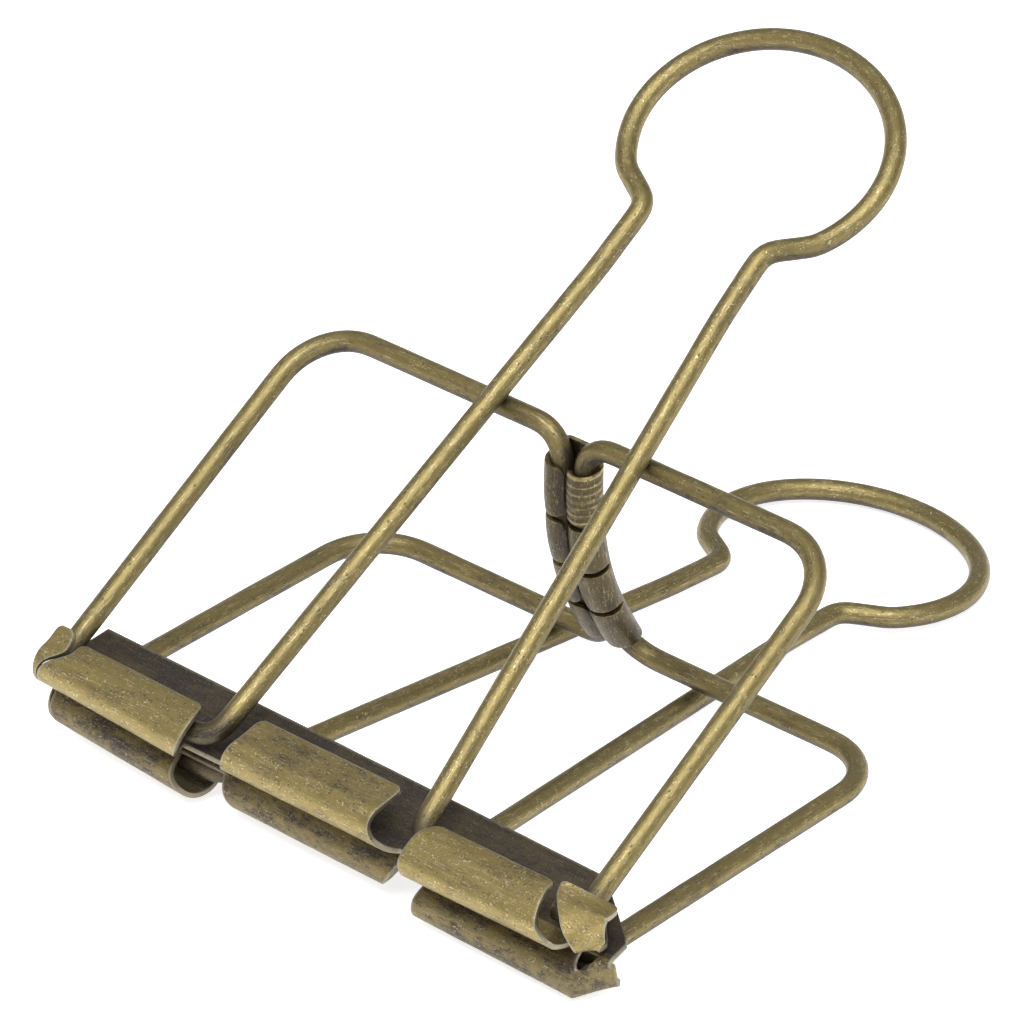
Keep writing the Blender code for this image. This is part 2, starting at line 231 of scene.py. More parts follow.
class Nodes:
    """Short names for the node tree of one material."""

    def __init__(self, material):
        material.use_nodes = True
        self.tree = material.node_tree
        self.shader = self.tree.nodes["Principled BSDF"]

    def add(self, kind, **values):
        node = self.tree.nodes.new(kind)
        for name, value in values.items():
            setattr(node, name, value)
        return node

    def link(self, source, target):
        self.tree.links.new(source, target)

    def grain(self, scale):
        """The piece's grain coordinate, in millimetres along the metal and across it, scaled."""
        source = self.add("ShaderNodeAttribute", attribute_name="grain")
        mapping = self.add("ShaderNodeMapping")
        mapping.inputs["Scale"].default_value = scale
        self.link(source.outputs["Vector"], mapping.inputs["Vector"])
        return mapping.outputs["Vector"]

    def number(self, attribute):
        return self.add("ShaderNodeAttribute", attribute_name=attribute).outputs["Fac"]

    def noise(self, scale, detail=4.0, rough=0.6, size=1.0):
        node = self.add("ShaderNodeTexNoise")
        node.inputs["Scale"].default_value = size
        node.inputs["Detail"].default_value = detail
        node.inputs["Roughness"].default_value = rough
        self.link(self.grain(scale), node.inputs["Vector"])
        return node.outputs["Fac"]

    def spots(self, scale, low, high):
        """Small round spots: 1 inside them, 0 outside."""
        node = self.add("ShaderNodeTexVoronoi")
        node.inputs["Scale"].default_value = 1.0
        self.link(self.grain(scale), node.inputs["Vector"])
        return self.ramp(node.outputs["Distance"], low, high, falling=True)

    def ramp(self, value, low, high, falling=False):
        node = self.add("ShaderNodeMapRange", interpolation_type="SMOOTHSTEP")
        node.inputs["From Min"].default_value = low
        node.inputs["From Max"].default_value = high
        node.inputs["To Min"].default_value = 1.0 if falling else 0.0
        node.inputs["To Max"].default_value = 0.0 if falling else 1.0
        self.link(value, node.inputs["Value"])
        return node.outputs["Result"]

    def math(self, operation, first, second):
        node = self.add("ShaderNodeMath", operation=operation)
        for socket, value in zip(node.inputs, (first, second)):
            if isinstance(value, float):
                socket.default_value = value
            else:
                self.link(value, socket)
        return node.outputs["Value"]

    def mix(self, share, first, second):
        """Blends two colours, each a tuple or a socket."""
        node = self.add("ShaderNodeMix", data_type="RGBA")
        self.link(share, node.inputs[0])
        for socket, value in ((node.inputs[6], first), (node.inputs[7], second)):
            if isinstance(value, tuple):
                socket.default_value = (*value, 1.0)
            else:
                self.link(value, socket)
        return node.outputs[2]

    def span(self, share, low, high):
        """A number from low to high as the share goes from 0 to 1."""
        node = self.add("ShaderNodeMapRange")
        node.inputs["To Min"].default_value = low
        node.inputs["To Max"].default_value = high
        self.link(share, node.inputs["Value"])
        return node.outputs["Result"]


def antique_brass(name, plating, rubbed_and_highlight, patina_level, rough, specks):
    """Plated metal with an antique finish.

    plating is its usual colour. The second colour goes where it is worn and, on the wires' upper sides,
    paints a highlight. Patina covers more of it as patina_level rises, and the stored darkness adds
    patina, dirt and painted shade. rough is the roughness of the plating, and specks how many glints it
    has.
    """
    material = bpy.data.materials.new(name)
    nodes = Nodes(material)
    wear_and_highlight = nodes.number("wear_and_highlight")
    grime_and_shade = nodes.number("grime_and_shade")

    clouds = nodes.noise((0.22, 0.6, 0.6), detail=6.0, rough=0.62)
    mottle = nodes.noise((1.3, 1.9, 1.9), detail=5.0, rough=0.7)
    speckle = nodes.noise((5.0, 6.5, 6.5), detail=4.0, rough=0.65)
    streaks = nodes.noise((0.7, 8.0, 8.0), detail=4.0, rough=0.7)
    fine = nodes.noise((1.6, 24.0, 24.0), detail=2.0, rough=0.6)
    pits = nodes.spots((1.1, 1.5, 1.5), 0.06, 0.16)

    dark = nodes.math("ADD", nodes.math("MULTIPLY", clouds, 0.6), nodes.math("MULTIPLY", mottle, 0.6))
    dark = nodes.ramp(dark, 0.64 - patina_level * 0.2, 0.83 - patina_level * 0.2)
    # The stored darkness is patina and dirt, and also painted shade under the wires, in the curls and by
    # the clamp.
    dark = nodes.math("ADD", nodes.math("MULTIPLY", dark, 0.6), grime_and_shade)
    dark = nodes.math("ADD", nodes.math("MULTIPLY", dark, 0.85), nodes.span(speckle, -0.35, 0.35))
    colour = nodes.mix(nodes.ramp(dark, -0.1, 1.0), plating, PATINA_AND_SHADE)

    bright = nodes.ramp(nodes.math("ADD", streaks, nodes.math("MULTIPLY", mottle, 0.5)), 0.78, 0.96)
    glint = nodes.ramp(speckle, 0.62 - specks * 0.08, 0.7 - specks * 0.08)
    glint = nodes.math("MULTIPLY", glint, nodes.ramp(mottle, 0.44, 0.56))
    shine = nodes.math("MAXIMUM", nodes.math("MULTIPLY", bright, 0.3), nodes.math("MULTIPLY", glint, 0.65))
    shine = nodes.math("MULTIPLY", shine, nodes.span(grime_and_shade, 1.0, 0.1))
    colour = nodes.mix(shine, colour, FLECK)
    # The worn colour also paints the highlight on the wires' upper sides.
    rub_and_highlight = nodes.ramp(nodes.math("ADD", wear_and_highlight, nodes.math("MULTIPLY", mottle, 0.6)), 0.6, 1.05)
    rub_and_highlight = nodes.math("MULTIPLY", rub_and_highlight, nodes.span(grime_and_shade, 0.9, 0.4))
    colour = nodes.mix(rub_and_highlight, colour, rubbed_and_highlight)
    colour = nodes.mix(nodes.math("MULTIPLY", pits, 0.6), colour, PATINA_AND_SHADE)
    nodes.link(colour, nodes.shader.inputs["Base Color"])

    metal = nodes.span(dark, 1.0, 0.75)
    nodes.link(metal, nodes.shader.inputs["Metallic"])

    gloss = nodes.math("ADD", nodes.span(mottle, rough - 0.12, rough + 0.12), nodes.span(dark, 0.0, 0.06))
    gloss = nodes.math("SUBTRACT", gloss, nodes.math("MULTIPLY", shine, 0.12))
    nodes.link(gloss, nodes.shader.inputs["Roughness"])

    height = nodes.math("ADD", nodes.math("MULTIPLY", streaks, 0.35), nodes.math("MULTIPLY", fine, 0.2))
    height = nodes.math("ADD", height, speckle)
    height = nodes.math("ADD", height, nodes.math("MULTIPLY", mottle, 0.8))
    height = nodes.math("SUBTRACT", height, nodes.math("MULTIPLY", pits, 0.8))
    bump = nodes.add("ShaderNodeBump")
    bump.inputs["Strength"].default_value = 0.6
    bump.inputs["Distance"].default_value = 0.06 * MM
    nodes.link(height, bump.inputs["Height"])
    nodes.link(bump.outputs["Normal"], nodes.shader.inputs["Normal"])
    return material


# ---------------------------------------------------------------- meshes


def rounded(corners):
    """Points along a path of straight runs. Each corner is (x, y, z, radius), and a radius rounds it."""
    points = []
    for index, (*corner, radius) in enumerate(corners):
        here = Vector(corner)
        if not radius:
            points.append(here)
            continue
        before = (Vector(corners[index - 1][:3]) - here).normalized()
        after = (Vector(corners[index + 1][:3]) - here).normalized()
        opening = before.angle(after)
        centre = here + (before + after).normalized() * (radius / math.sin(opening / 2))
        start = here + before * (radius / math.tan(opening / 2)) - centre
        axis = before.cross(after)
        turn = math.pi - opening
        steps = max(6, round(turn * radius / 0.2))
        for step in range(steps + 1):
            points.append(centre + Matrix.Rotation(-turn * step / steps, 3, axis) @ start)
    return points


def evenly(points, step):
    """The same path with points a step apart, and softened where two runs meet."""
    lengths = [0.0]
    for before, after in zip(points, points[1:]):
        lengths.append(lengths[-1] + (after - before).length)
    count = round(lengths[-1] / step)
    spread = []
    segment = 0
    for index in range(count + 1):
        along = lengths[-1] * index / count
        while segment < len(points) - 2 and lengths[segment + 1] < along:
            segment += 1
        share = (along - lengths[segment]) / max(1e-9, lengths[segment + 1] - lengths[segment])
        spread.append(points[segment].lerp(points[segment + 1], share))
    for _ in range(2):
        inner = [(a + 2 * b + c) / 4 for a, b, c in zip(spread, spread[1:], spread[2:])]
        spread = [spread[0], *inner, spread[-1]]
    return spread


def new_piece(name, mesh, body, replaced, material):
    """Puts a mesh made in the clip's frame in its place, with its material, on its body."""
    mesh.transform(CLIP)
    mesh.materials.append(material)
    piece = bpy.data.objects.new(name, mesh)
    bpy.context.scene.collection.objects.link(piece)
    if body:
        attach(piece, body)
    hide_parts(*replaced)
    return piece


def store(mesh, name, kind, values):
    attribute = mesh.attributes.new(name, kind, "POINT")
    if kind == "FLOAT_VECTOR":
        attribute.data.foreach_set("vector", [part for value in values for part in value])
    else:
        attribute.data.foreach_set("value", values)


def with_end_rings(path, open_ends):
    """The path with two more points near each cut end, where the wire's edge is rounded."""
    path = list(path)
    if open_ends[0]:
        path[1:1] = [path[0].lerp(path[1], share) for share in (0.12, 0.35)]
    if open_ends[1]:
        path[-1:-1] = [path[-1].lerp(path[-2], share) for share in (0.35, 0.12)]
    return path


def wire_mesh(name, points, matrix, open_ends, seed):
    """A round wire along the path, sheared ends slightly broken, with tiny drawing marks and dents.

    Returns the mesh and its underside's painted shade. Upper sides get a painted highlight, cut ends wear.
    """
    path = with_end_rings(evenly(points, RING_STEP), open_ends)
    total = sum((b - a).length for a, b in zip(path, path[1:]))
    mesh = bpy.data.meshes.new(name)
    shape = bmesh.new()
    rings = []
    grain = []
    wear_and_highlight = []
    painted_underside_shade = []
    along = 0.0
    side = None
    for index, point in enumerate(path):
        before = path[max(0, index - 1)]
        after = path[min(len(path) - 1, index + 1)]
        ahead = (after - before).normalized()
        side = ahead.orthogonal() if side is None else side - ahead * side.dot(ahead)
        side.normalize()
        up = ahead.cross(side)
        if index:
            along += (point - path[index - 1]).length
        from_start = along if open_ends[0] else math.inf
        from_end = total - along if open_ends[1] else math.inf
        nearest = min(from_start, from_end)
        radius = WIRE / 2
        if nearest < SHEARED_EDGE:
            radius -= SHEARED_EDGE - math.sqrt(SHEARED_EDGE ** 2 - (SHEARED_EDGE - nearest) ** 2)
        ring = []
        for number in range(RING_SIDES):
            turn = 2 * math.pi * number / RING_SIDES
            out = side * math.cos(turn) + up * math.sin(turn)
            place = Vector((along * 0.35 + seed * 37.0, math.cos(turn) * 0.9, math.sin(turn) * 0.9))
            dent = noise.noise(place) * 0.012 + noise.noise(place * 3.1) * 0.006 - WIRE_LESS
            ring.append(shape.verts.new(matrix @ (point + out * (radius + dent))))
            grain.append((along + seed * 61.0, math.cos(turn) * WIRE / 2, math.sin(turn) * WIRE / 2))
            above = (CLIP.to_3x3() @ (matrix.to_3x3() @ out)).normalized().z
            # A painted highlight on the sides that face up, beside the wear at the cut ends; painted shade
            # underneath.
            wear_and_highlight.append(max(0.0, 1.0 - nearest / 0.35, 0.32 * smooth_between(above, 0.35, 1.0)))
            painted_underside_shade.append(0.9 * smooth_between(-above, -0.4, 0.6))
        rings.append(ring)
    for one, two in zip(rings, rings[1:]):
        for number in range(RING_SIDES):
            following = (number + 1) % RING_SIDES
            shape.faces.new((one[number], one[following], two[following], two[number]))
    shape.faces.new(rings[0][::-1])
    shape.faces.new(rings[-1])
    bmesh.ops.recalc_face_normals(shape, faces=shape.faces)
    for face in shape.faces:
        face.smooth = len(face.verts) == 4
    shape.to_mesh(mesh)
    shape.free()
    store(mesh, "grain", "FLOAT_VECTOR", grain)
    store(mesh, "wear_and_highlight", "FLOAT", wear_and_highlight)
    return mesh, painted_underside_shade


def add_grime_and_shade(mesh, amount_at, least=None):
    """Stores each vertex's darkness from patina, dirt and painted shade, by its place in the clip's frame.
    """
    least = least or [0.0] * len(mesh.vertices)
    store(mesh, "grime_and_shade", "FLOAT", [max(amount_at(v.co), low) for v, low in zip(mesh.vertices, least)])


def smooth_between(value, low, high):
    share = min(1.0, max(0.0, (value - low) / (high - low)))
    return share * share * (3 - 2 * share)


# ---------------------------------------------------------------- wires


def bowed(point):
    """Leans a point of the spine towards the mouth, most at mid-height and not at all at the bars."""
    lean = SPINE_BOW * math.cos(math.pi / 2 * min(1.0, abs(point.z) / BAR_Z))
    return Vector((point.x, point.y - lean, point.z))


def spring_path(spine_x):
    """The upper right half of a spring wire: foot, arm, back corner, bar, and down to mid-spine."""
    run = rounded([
        (FOOT_END, 0.0, CURL_AXIS, 0.0),
        (ARM_X_JAW, 0.0, CURL_AXIS, FOOT_RADIUS),
        (ARM_X_BACK, BAR_Y, BAR_Z, CORNER_RADIUS),
        (spine_x, BAR_Y, BAR_Z, SPINE_RADIUS),
        (spine_x, BAR_Y, BAR_Z - SPINE_RADIUS - 0.5, 0.0),
    ])
    low = run[-1].z
    run += [Vector((spine_x, BAR_Y, low * step / SPINE_STEPS)) for step in reversed(range(SPINE_STEPS))]
    return [bowed(point) if point.x < TWIST_TO else point for point in run]


def spring_painted_shade(point):
    """Painted shade where the wires enter the jaws' curls, and in and by the clamp."""
    jaw = 1.0 - smooth_between(point.y, 0.4, 4.5)
    spine = (1.0 - smooth_between(abs(point.x), 1.2, 3.4)) * (1.0 - smooth_between(abs(point.z), 8.0, 12.0))
    return max(jaw * 0.75, spine * 0.7)


def make_spring(side, half, seed):
    """One half of a spring wire, from its jaw to the middle of the spine, twisting along its back bar."""
    matrix = (MIRROR_X if side == "left" else Matrix()) @ (MIRROR_Z if half == "lower" else Matrix())
    spine_x = SPINE_X + (LEFT_SHIFT if side == "left" else 0.0)
    mesh, painted_underside_shade = wire_mesh(f"{side}_{half}_spring_wire", spring_path(spine_x), matrix, (True, False), seed)
    add_grime_and_shade(mesh, spring_painted_shade, painted_underside_shade)
    replaced = [f"{side}_{half}_spring_arm", f"{side}_spring_spine"]
    piece = new_piece(mesh.name, mesh, None, replaced, spring_brass)
    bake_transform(piece)


def handle_path():
    """A handle, flat in x and distance from its hinge: foot, arm, neck, oval loop and back again."""
    start = math.radians(LOOP_FROM)
    joins = (LOOP_WIDE * math.cos(start), LOOP_CENTRE + LOOP_LONG * math.sin(start), 0.0, 0.0)
    side = rounded([
        (HANDLE_FOOT, 0.0, 0.0, 0.0),
        (HANDLE_X, 0.0, 0.0, HANDLE_FOOT_RADIUS),
        (NECK_X + NECK_FLARE, NECK_START, 0.0, NECK_BEND),
        (NECK_X, NECK_END, 0.0, NECK_RADIUS),
        joins,
    ])
    for step in range(1, LOOP_STEPS + 1):
        turn = start + (math.pi / 2 - start) * step / LOOP_STEPS
        side.append(Vector((LOOP_WIDE * math.cos(turn), LOOP_CENTRE + LOOP_LONG * math.sin(turn), 0.0)))
    return side + [Vector((-point.x, point.y, point.z)) for point in reversed(side[:-1])]


def make_handle(half, seed):
    """A handle, lying on its back bar."""
    bar_angle = math.atan2(BAR_Z - CURL_AXIS, BAR_Y)
    bar_reach = math.hypot(BAR_Y, BAR_Z - CURL_AXIS)
    rise = bar_angle + math.asin((WIRE + REST_GAP[half]) / bar_reach)
    matrix = Matrix.Translation((0.0, 0.0, CURL_AXIS)) @ Matrix.Rotation(rise, 4, "X")
    if half == "lower":
        matrix = MIRROR_Z @ matrix
    mesh, painted_underside_shade = wire_mesh(f"{half}_handle_wire", handle_path(), matrix, (True, True), seed)
    # Painted shade on the handle's foot, where it lies in the jaw's curl.
    add_grime_and_shade(mesh, lambda point: 0.75 * (1.0 - smooth_between(point.y, 0.3, 3.5)), painted_underside_shade)
    new_piece(mesh.name, mesh, f"{half}_handle", [f"{half}_handle"], handle_brass)


# ---------------------------------------------------------------- jaws


def tab_profile(angle, back=0.0, sag=0.0, push=0.0, bulge=0.0, pinch=0.0):
    """The (y, z) of the sheet's middle: round the nose by the angle in degrees, then back by a run.

    A pushed tab is curled loosely, with its nose further forward. A pinched one has its nose pressed
    back and its top pressed down.
    """
    turn = math.radians(angle)
    grown = smooth_between(angle, NOTCH_ANGLE, PUSH_FULL)
    radius = CURL_RADIUS + bulge * math.sin(math.radians(angle - NOTCH_ANGLE) * BULGE_RATE)
    depth = radius * (1 - pinch * grown)
    forward = push * grown * (1 - PUSH_LOSS * smooth_between(angle, PUSH_UNTIL, 180))
    drop = back * back / (2 * sag) if sag else 0.0
    drop += pinch * back * 0.5
    return (-depth * math.sin(turn) - forward + back, CURL_AXIS - radius * math.cos(turn) - drop)


def line_at(edge, share):
    """The straight-line value of an end edge between the shares where it is given."""
    share = min(1.0, max(0.0, share))
    knots = list(zip(EDGE_SHARES, edge))
    for (low, x_low), (high, x_high) in zip(knots, knots[1:]):
        if share <= high:
            return x_low + (x_high - x_low) * (share - low) / (high - low)
    return edge[-1]


def edge_at(edge, share):
    """An end edge's x, as the share goes from 0 at the notch's root to 1 at the free edge."""
    if len(edge) == 3:
        middle, side, shut = edge
        side *= SLOT_TIGHT
        middle += (shut - middle) * smooth_between(share, SLOT_SHARE / 2, SLOT_SHARE * 4)
        return middle + side * math.sqrt(max(0.0, 1 - (share / SLOT_SHARE) ** 2))
    reach = min(EDGE_SOFT, share)
    return sum(line_at(edge, share + reach * part) for part in (-1.0, -0.5, 0.0, 0.5, 1.0)) / 5


def strip_point(left, right, right_cut, across, back):
    """The flat strip behind the nose, its back corners cut off, and the nose up to the notches."""
    x = left + (right - left) * across
    if back < 0:
        return (x, *tab_profile(NOTCH_ANGLE * -back))
    depth = JAW_DEPTH - STRIP_TAPER * x
    y = depth * back
    start, width = right_cut if x > 0 else LEFT_CUT
    cut = max(0.0, y - start) * width / (depth - start)
    end = JAW_RIGHT if x > 0 else -JAW_LEFT
    return (x * (1 - cut / end), y, FACE_HEIGHT + SHEET / 2)


def tab_point(left, right, run, sag, pushes, bulges, pinch, across, share):
    """A tab: round the nose for its first part, then back over the curl to its rounded free edge."""
    angle = NOTCH_ANGLE + (180 - NOTCH_ANGLE) * min(1.0, share / TOP_SHARE)
    back = run * max(0.0, share - TOP_SHARE) / (1 - TOP_SHARE)
    push = pushes[0] + (pushes[1] - pushes[0]) * across
    bulge = bulges[0] + (bulges[1] - bulges[0]) * across
    y, z = tab_profile(angle, back, sag, push, bulge, pinch * across)
    x_left = edge_at(left, share)
    x_right = edge_at(right, share)
    corner = min(0.45, (x_right - x_left) / 3)
    late = max(0.0, share - 0.9) / 0.1
    trim = corner * (1 - math.sqrt(max(0.0, 1 - late * late)))
    return (x_left + trim + (x_right - x_left - 2 * trim) * across, y, z)


def add_grid(mesh, columns, rows, where):
    """Adds a grid of quads whose vertex in column i and row j lies at where(i / columns, j / rows)."""
    made = bmesh.ops.create_grid(mesh, x_segments=columns, y_segments=rows, size=0.5)
    for vertex in made["verts"]:
        vertex.co = Vector(where(vertex.co.x + 0.5, vertex.co.y + 0.5))


def rim_wear(sheet, reach):
    """How near each vertex lies to the sheet's cut edge: 1 on it, 0 from the reach inwards."""
    near = {vertex: 0.0 for vertex in sheet.verts if vertex.is_boundary}
    front = list(near)
    while front:
        following = []
        for vertex in front:
            for edge in vertex.link_edges:
                other = edge.other_vert(vertex)
                distance = near[vertex] + edge.calc_length()
                if distance < reach and distance < near.get(other, reach):
                    near[other] = distance
                    following.append(other)
        front = following
    return [1.0 - near.get(vertex, reach) / reach for vertex in sheet.verts]


def thickened(name, sheet, thickness, wear_and_highlight):
    """Gives the sheet its thickness and breaks its edges, and returns the finished mesh."""
    mesh = bpy.data.meshes.new(name + "_sheet")
    sheet.verts.index_update()
    sheet.to_mesh(mesh)
    sheet.free()
    store(mesh, "wear_and_highlight", "FLOAT", wear_and_highlight)
    draft = bpy.data.objects.new(name + "_sheet", mesh)
    bpy.context.scene.collection.objects.link(draft)
    thick = draft.modifiers.new("thickness", "SOLIDIFY")
    thick.thickness = thickness
    thick.offset = 0.0
    thick.use_even_offset = True
    broken = draft.modifiers.new("broken_edges", "BEVEL")
    broken.width = BROKEN_EDGE
    broken.segments = 2
    broken.limit_method = "ANGLE"
    broken.angle_limit = math.radians(50)
    bpy.context.view_layer.update()
    graph = bpy.context.evaluated_depsgraph_get()
    made = bpy.data.meshes.new_from_object(draft.evaluated_get(graph))
    made.name = name
    bpy.data.objects.remove(draft, do_unlink=True)
    for polygon in made.polygons:
        polygon.use_smooth = True
    made.set_sharp_from_angle(angle=math.radians(55))
    return made


def jaw_grime_and_shade(point):
    """Darkest on the strip, with painted shade in the curls; the lower jaw is darker and the middle tab
    stained.
    """
    height = abs(point.z) - CURL_AXIS
    inside = math.hypot(point.y, height) < CURL_RADIUS - SHEET * 0.3
    strip = (1.0 - smooth_between(abs(point.z), 0.5, 1.1)) * smooth_between(point.y, -1.2, 0.2)
    # Painted shade inside the curls.
    if inside and point.y < 1.5 and point.x < 27.8:
        return 0.8
    lower = 0.5 * smooth_between(-point.z, 0.1, 0.5)
    top = smooth_between(point.z, CURL_AXIS + 1.2, CURL_AXIS + 1.4) * smooth_between(point.y, -0.7, 0.2)
    flat = 0.3 * top * (1.0 - smooth_between(abs(point.x), 7.0, 9.5))
    return max(strip * 0.95, lower, flat)


def make_jaw(half, tabs, right_cut, matrix):
    """A stamped jaw: a flat strip, with tabs cut in its front edge and curled up over the wires."""
    name = half + "_jaw_sheet"
    sheet = bmesh.new()
    stops = [edge_at(edge, 0.0) for tab in tabs.values() for edge in tab[:2]]
    columns = [max(1, round((b - a) / SHEET_STEP)) for a, b in zip(stops, stops[1:])]
    for number, (left, right, *_) in enumerate(tabs.values()):
        widest = max(edge_at(right, share) - edge_at(left, share) for share in EDGE_SHARES)
        columns[2 * number] = max(columns[2 * number], round(widest / SHEET_STEP) + 3)
    for left, right, count in zip(stops, stops[1:], columns):
        run = (left, right, right_cut)
        add_grid(sheet, count, STRIP_ROWS, lambda i, j, run=run: strip_point(*run, i, j))
        add_grid(sheet, count, NOTCH_ROWS, lambda i, j, run=run: strip_point(*run, i, j - 1))
    for tab, count in zip(tabs.values(), columns[::2]):
        add_grid(sheet, count, TAB_ROWS, lambda i, j, tab=tab: tab_point(*tab, i, j))
    bmesh.ops.remove_doubles(sheet, verts=sheet.verts, dist=MERGE)
    bmesh.ops.recalc_face_normals(sheet, faces=sheet.faces)
    sheet.normal_update()
    for vertex in sheet.verts:
        spot = vertex.co * 0.33 + Vector((0.0, 0.0, 9.0 if half == "lower" else 0.0))
        vertex.co += vertex.normal * (noise.noise(spot) * 0.022 + noise.noise(spot * 4.0) * 0.008)
        vertex.co.x *= JAW_SQUEEZE
    wear_and_highlight = [0.85 * near for near in rim_wear(sheet, 0.28)]
    mesh = thickened(name, sheet, SHEET - JAW_LESS, wear_and_highlight)
    mesh.transform(matrix)
    if matrix.is_negative:
        mesh.flip_normals()
    shift = 40.0 if half == "lower" else 0.0
    store(mesh, "grain", "FLOAT_VECTOR", [(v.co.x + shift, v.co.y, v.co.z) for v in mesh.vertices])
    add_grime_and_shade(mesh, jaw_grime_and_shade)
    new_piece(name, mesh, half + "_jaw", [half + "_jaw"], jaw_brass)


# ---------------------------------------------------------------- spine clamp


def clamp_outline():
    """The clamp's section as (x, y) points on its sheet's middle, from one flap's lip to the other's."""
    radius = WIRE / 2 + CLAMP_ROOM + CLAMP_SHEET / 2
    sides = []
    for shift in (-LEFT_SHIFT, LEFT_SHIFT):
        centre = SPINE_X + max(0.0, shift)
        lip_x = SEAM_HALF + shift
        lip = math.acos(min(1.0, (centre - lip_x) / radius)) + math.pi
        side = []
        for step in range(SIDE_STEPS + 1):
            turn = lip + (2.5 * math.pi - lip) * step / SIDE_STEPS
            side.append(Vector((centre + radius * math.cos(turn), radius * math.sin(turn), 0.0)))
        sides.append(side)
    right, left = sides
    back = [Vector((x / 4 * SPINE_X, radius, 0.0)) for x in (3, 2, 1, 0, -1, -2, -3)]
    return right + back + [Vector((-point.x, point.y, 0.0)) for point in reversed(left)]


def ribs(height, across, finger):
    """The pressed pattern: ribs across the top fingers, faint on the left, fine lines down the others."""
    if finger == FINGERS - 1:
        return RIB_HEIGHT * math.sin(height * 2 * math.pi / RIB_PITCH) * (1.0 if across > 0 else 0.15)
    return LINE_HEIGHT * math.sin(across * 2 * math.pi / LINE_PITCH)


def rib_wear(point):
    """The tops of the upper right finger's ribs are rubbed bright."""
    if point.x < 0.3 or point.y > BAR_Y or point.z < CLAMP_HALF * (1 - 2 / FINGERS):
        return 0.0
    return 0.6 * max(0.0, math.sin(point.z * 2 * math.pi / RIB_PITCH))


def clamp_point(outline, finger, along, up):
    """A point of a finger: along goes from one flap's lip to the other's, and up from low to high."""
    last = len(outline) - 1
    point = outline[round(along * last)]
    share = round(up * FINGER_ROWS) / FINGER_ROWS
    low = CLAMP_HALF * (2 * finger / FINGERS - 1)
    high = CLAMP_HALF * (2 * (finger + 1) / FINGERS - 1)
    depth = smooth_between(point.y, GAP_ROOT + 0.45, GAP_ROOT - 0.25)
    gap = FINGER_GAP / 2 * math.sqrt(max(0.0, 1 - (1 - depth) ** 2)) if point.y < GAP_ROOT + 0.45 else 0.0
    inward = max(0.0, 1 - min(along, 1 - along) * last * LIP_STEP / FINGER_CORNER)
    trim = FINGER_CORNER * (1 - math.sqrt(1 - inward * inward))
    bottom = low + trim + (gap if finger else 0.0)
    top = high - trim - (gap if finger < FINGERS - 1 else 0.0)
    height = bottom + (top - bottom) * share
    if finger == FINGERS - 1 and point.y > BACK_FROM:
        height += BACK_RISE * share * smooth_between(point.y, BACK_FROM, BACK_FROM + 0.2)
    centre = SPINE_X if point.x > -LEFT_SHIFT / 2 else -SPINE_X - LEFT_SHIFT
    outward = Vector((point.x - centre, point.y, 0.0))
    if abs(point.x) < SPINE_X and point.y > 0:
        outward = Vector((0.0, 1.0, 0.0))
    outward.normalize()
    pillow = 0.07 * math.sin(math.pi * share) ** 0.5 - 0.05 if point.y < 0.6 else 0.0
    pressed = ribs(height, point.x, finger) if point.y < 0.3 else 0.0
    spot = point + outward * (pillow + pressed)
    return bowed(Vector((spot.x, BAR_Y + spot.y, height)))


def clamp_grime(point):
    """Dirt lies in the seam, and the clamp is darker towards its lower end."""
    nearness = 1.0 - smooth_between(abs(point.x + LEFT_SHIFT), 0.15, 0.7)
    seam = nearness if point.y < bowed(Vector((0.0, BAR_Y, point.z))).y else 0.0
    return max(0.2, seam * 0.8, 0.35 * smooth_between(-point.z, -4.0, 9.0))


def make_clamp():
    """The spine clamp: a back plate, and fingers crimped round both wires to a seam at the front."""
    name = "spine_clamp_sheet"
    outline = clamp_outline()
    columns = len(outline) - 1
    sheet = bmesh.new()
    for row in range(FINGERS):
        add_grid(sheet, columns, FINGER_ROWS, lambda i, j, row=row: clamp_point(outline, row, i, j))
    bmesh.ops.remove_doubles(sheet, verts=sheet.verts, dist=MERGE)
    bmesh.ops.recalc_face_normals(sheet, faces=sheet.faces)
    sheet.normal_update()
    wear_and_highlight = [max(0.5 * near, rib_wear(v.co)) for near, v in zip(rim_wear(sheet, 0.25), sheet.verts)]
    mesh = thickened(name, sheet, CLAMP_SHEET, wear_and_highlight)
    store(mesh, "grain", "FLOAT_VECTOR", [(v.co.z, v.co.x + 90.0, v.co.y) for v in mesh.vertices])
    add_grime_and_shade(mesh, clamp_grime)
    new_piece(name, mesh, "spine", ["spine_clamp"], clamp_brass)


# ---------------------------------------------------------------- stage


def make_floor():
    """A plain pale surface under the clip."""
    mesh = bpy.data.meshes.new("floor")
    shape = bmesh.new()
    bmesh.ops.create_grid(shape, x_segments=1, y_segments=1, size=FLOOR_SIZE / 2)
    shape.to_mesh(mesh)
    shape.free()
    floor = bpy.data.objects.new("floor", mesh)
    floor.location.z = -FLOOR_DROP
    paper = bpy.data.materials.new("pale_floor")
    paper.use_nodes = True
    shader = paper.node_tree.nodes["Principled BSDF"]
    shader.inputs["Base Color"].default_value = (0.93, 0.93, 0.925, 1.0)
    shader.inputs["Roughness"].default_value = 0.85
    shader.inputs["Specular IOR Level"].default_value = 0.2
    shader.inputs["Emission Color"].default_value = (1.0, 1.0, 1.0, 1.0)
    shader.inputs["Emission Strength"].default_value = 0.65
    mesh.materials.append(paper)
    bpy.context.scene.collection.objects.link(floor)


def make_key_light():
    """A square soft box over the mouth, aimed at the clip."""
    lamp = bpy.data.lights.new("key", "AREA")
    lamp.size = KEY_SIZE
    lamp.energy = KEY_POWER
    light = bpy.data.objects.new("key", lamp)
    light.location = KEY_PLACE
    light.rotation_euler = (Vector(KEY_TARGET) - Vector(KEY_PLACE)).to_track_quat("-Z", "Y").to_euler()
    bpy.context.scene.collection.objects.link(light)


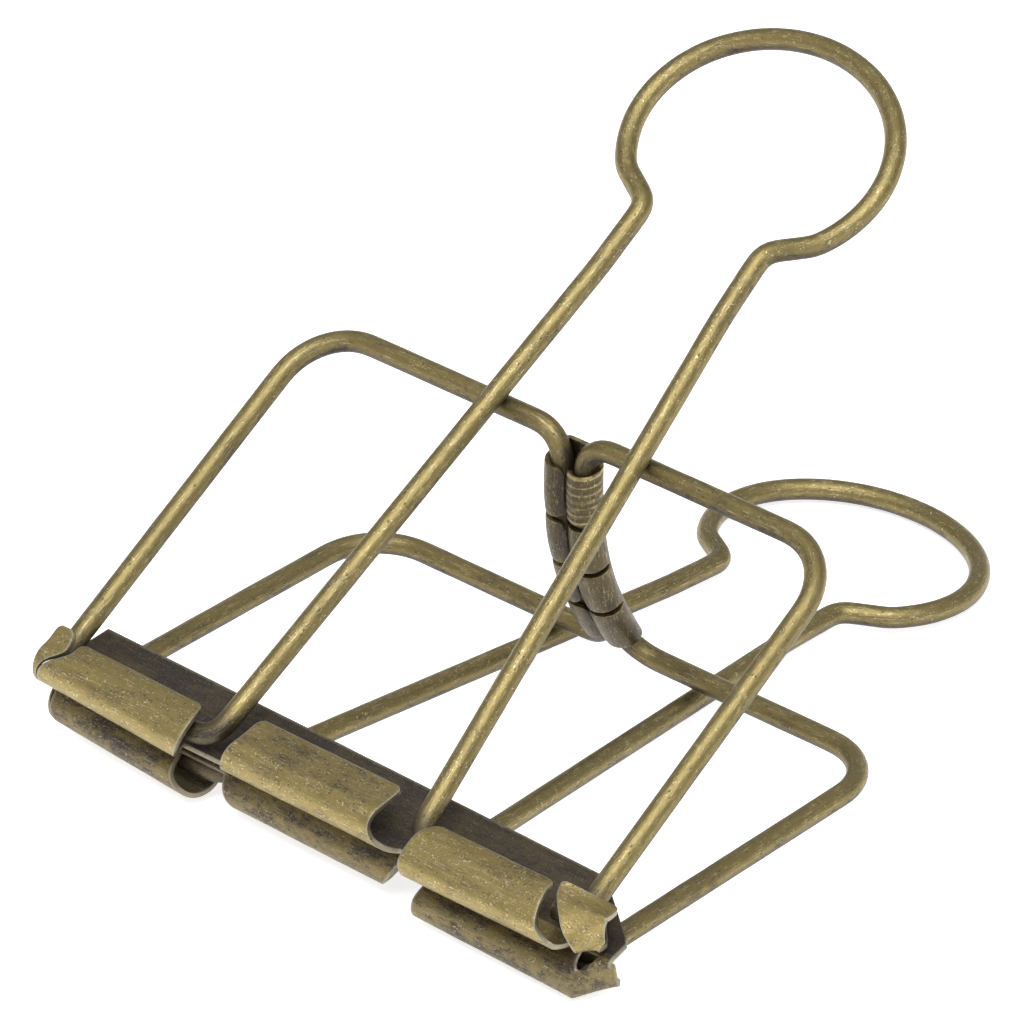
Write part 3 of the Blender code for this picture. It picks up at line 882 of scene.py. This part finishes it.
def make_world():
    """A room with a wide bright ceiling over the clip's mouth, and dim behind the clip's left."""
    world = bpy.data.worlds.new("studio")
    bpy.context.scene.world = world
    world.use_nodes = True
    tree = world.node_tree
    background = tree.nodes["Background"]
    coordinate = tree.nodes.new("ShaderNodeTexCoord")
    facing = tree.nodes.new("ShaderNodeVectorMath")
    facing.operation = "DOT_PRODUCT"
    facing.inputs[1].default_value = BRIGHT_SIDE
    ramp = tree.nodes.new("ShaderNodeMapRange")
    ramp.interpolation_type = "SMOOTHSTEP"
    ramp.inputs["From Min"].default_value = 0.15
    ramp.inputs["From Max"].default_value = 1.0
    ramp.inputs["To Min"].default_value = ROOM_DIM
    ramp.inputs["To Max"].default_value = 1.0
    tree.links.new(coordinate.outputs["Generated"], facing.inputs[0])
    tree.links.new(facing.outputs["Value"], ramp.inputs["Value"])
    tree.links.new(ramp.outputs["Result"], background.inputs["Strength"])
    background.inputs["Color"].default_value = (1.0, 1.0, 1.0, 1.0)


def make_camera():
    """The camera, placed from the clip's own frame."""
    lens = bpy.data.cameras.new("camera")
    lens.sensor_width = 36.0
    lens.lens = CAMERA_LENS
    lens.clip_start = 0.05
    lens.clip_end = 10.0
    camera = bpy.data.objects.new("camera", lens)
    place = CLIP @ Vector(CAMERA_AT)
    aim = CLIP @ Vector(CAMERA_AIM) - place
    turn = aim.to_track_quat("-Z", "Y") @ Matrix.Rotation(math.radians(CAMERA_ROLL), 3, "Z").to_quaternion()
    camera.location = place
    camera.rotation_mode = "QUATERNION"
    camera.rotation_quaternion = turn
    bpy.context.scene.collection.objects.link(camera)
    bpy.context.scene.camera = camera


spring_brass = antique_brass("spring_brass", OLIVE, GOLD, 0.35, 0.42, 0.3)
handle_brass = antique_brass("handle_brass", OLIVE, GOLD, 0.3, 0.4, 0.6)
jaw_brass = antique_brass("jaw_brass", TAB_OLIVE, PALE, 0.5, 0.46, 0.8)
clamp_brass = antique_brass("clamp_brass", GREY, GOLD, 0.4, 0.36, 0.2)

make_spring("left", "upper", 0)
make_spring("left", "lower", 1)
make_spring("right", "upper", 2)
make_spring("right", "lower", 3)
make_handle("upper", 5)
make_handle("lower", 6)
make_jaw("upper", UPPER_TABS, UPPER_RIGHT_CUT, Matrix())
make_jaw("lower", LOWER_TABS, LOWER_RIGHT_CUT, MIRROR_Z)
make_clamp()

make_floor()
make_world()
make_key_light()
make_camera()
bpy.context.scene.view_settings.view_transform = "Standard"
